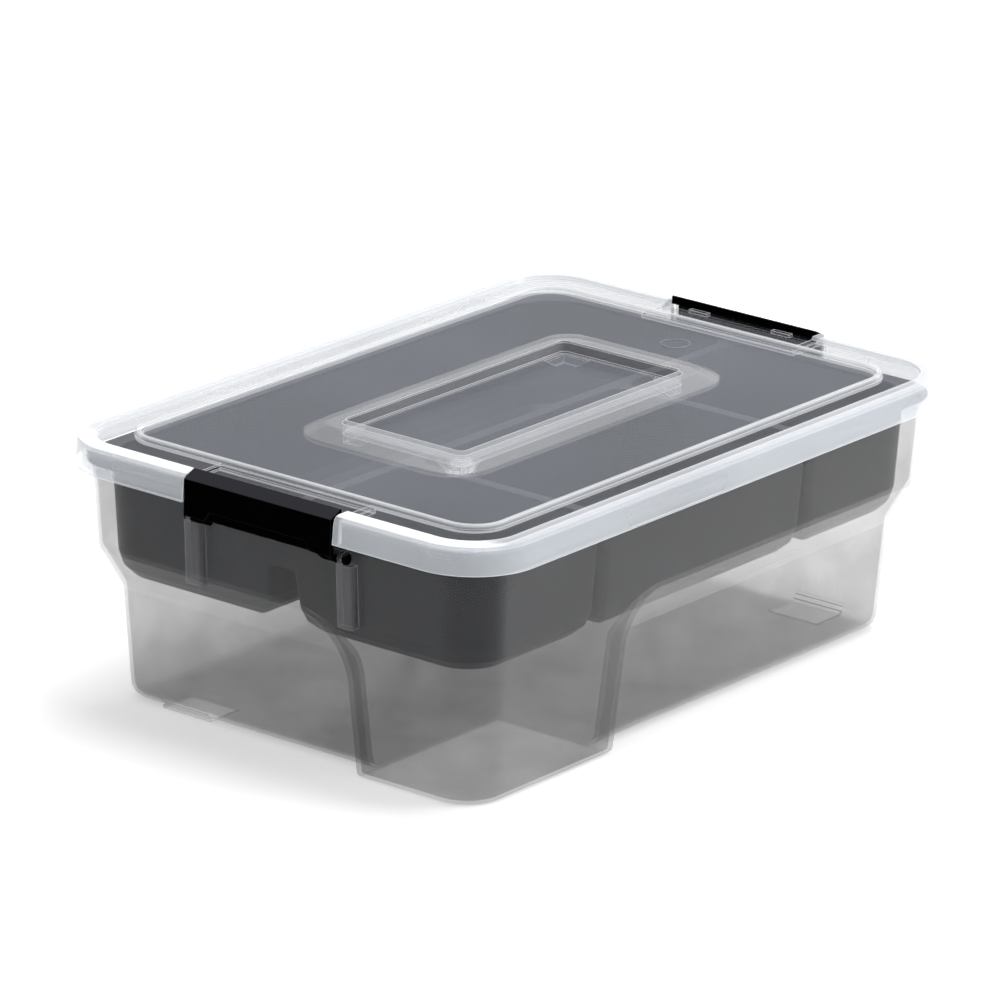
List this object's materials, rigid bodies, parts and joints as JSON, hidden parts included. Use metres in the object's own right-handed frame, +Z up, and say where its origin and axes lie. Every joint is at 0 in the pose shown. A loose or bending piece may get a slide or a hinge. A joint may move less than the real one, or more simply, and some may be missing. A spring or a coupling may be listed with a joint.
{
  "type": "storage container with tray",
  "caption": "Low rectangular clip-lid storage box with a stepped see-through tub, an opaque lift-out divided tray and end latches.",
  "frame": {"origin": "centre of the box's footprint on the surface it stands on", "axes": "+X along the box's long side towards latch_back, +Y towards the long single pocket of the tray, +Z up"},
  "size_m": [0.4, 0.284, 0.1434],
  "materials": {
    "tub_clear": "see-through smoky polypropylene, smooth moulded faces, bright edges",
    "lid_milky": "milky see-through polypropylene with a soft sheen, whiter where the sheet is doubled at its edges",
    "tray_dark": "opaque dark blue-grey moulded plastic, satin",
    "latch_black": "black moulded plastic, satin with crisp highlights"
  },
  "bodies": {
    "tub": {"tub": "tub_clear"},
    "insert_tray": {"insert_tray": "tray_dark"},
    "lid": {"lid": "lid_milky"},
    "latch_front": {"latch_front": "latch_black"},
    "latch_back": {"latch_back": "latch_black"}
  },
  "joints": [
    {"name": "tray_lift", "type": "slide", "parent": "tub", "child": "insert_tray", "axis": [0, 0, 1], "range_m": [0, 0.126]},
    {"name": "lid_lift", "type": "slide", "parent": "insert_tray", "child": "lid", "axis": [0, 0, 1], "range_m": [0, 0.126]},
    {"name": "latch_front_hinge", "type": "hinge", "parent": "tub", "child": "latch_front", "pos_m": [-0.192, 0, 0.117], "axis": [0, -1, 0], "range_deg": [0, 95]},
    {"name": "latch_back_hinge", "type": "hinge", "parent": "tub", "child": "latch_back", "pos_m": [0.192, 0, 0.117], "axis": [0, 1, 0], "range_deg": [0, 95]}
  ]
}
